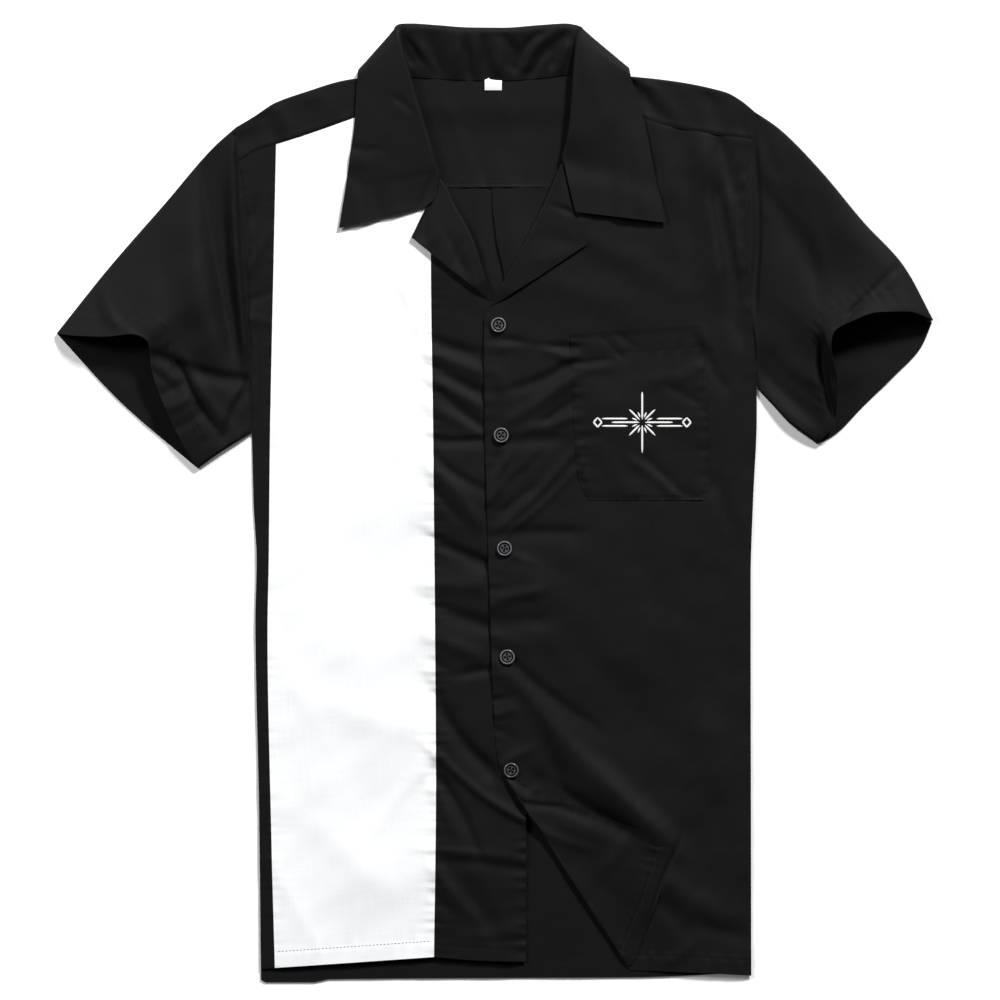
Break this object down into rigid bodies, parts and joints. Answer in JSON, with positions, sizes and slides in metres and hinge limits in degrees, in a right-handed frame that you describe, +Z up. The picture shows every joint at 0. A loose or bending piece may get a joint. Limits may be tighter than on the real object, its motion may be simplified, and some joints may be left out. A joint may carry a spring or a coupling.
{
  "type": "bowling shirt",
  "caption": "Short-sleeved camp-collar bowling shirt laid flat, black poplin with a white insert down one front, a chest pocket and one front corner folded back.",
  "frame": {"origin": "the middle of the part's box at the surface the shirt lies on", "axes": "+X to the wearer's left, +Y from the hem to the collar, +Z up from the surface out through the front of the shirt"},
  "size_m": [0.7186, 0.785, 0.0267],
  "materials": {
    "black_cloth": "poly-cotton poplin, matt with a soft sheen on the folds",
    "white_cloth": "poly-cotton poplin, matt",
    "button_resin": "moulded polyester resin, polished",
    "label_tape": "woven polyester tape, blank"
  },
  "bodies": {
    "root": {"back_panel": "black_cloth", "yoke": "black_cloth", "right_front_side": "black_cloth", "right_front_insert": "white_cloth", "right_front_centre": "black_cloth", "left_front": "black_cloth", "pocket": "black_cloth", "collar": "black_cloth", "sleeve_right": "black_cloth", "sleeve_left": "black_cloth", "size_label": "label_tape", "button_1": "button_resin", "button_2": "button_resin", "button_3": "button_resin", "button_4": "button_resin", "button_5": "button_resin"}
  },
  "joints": []
}
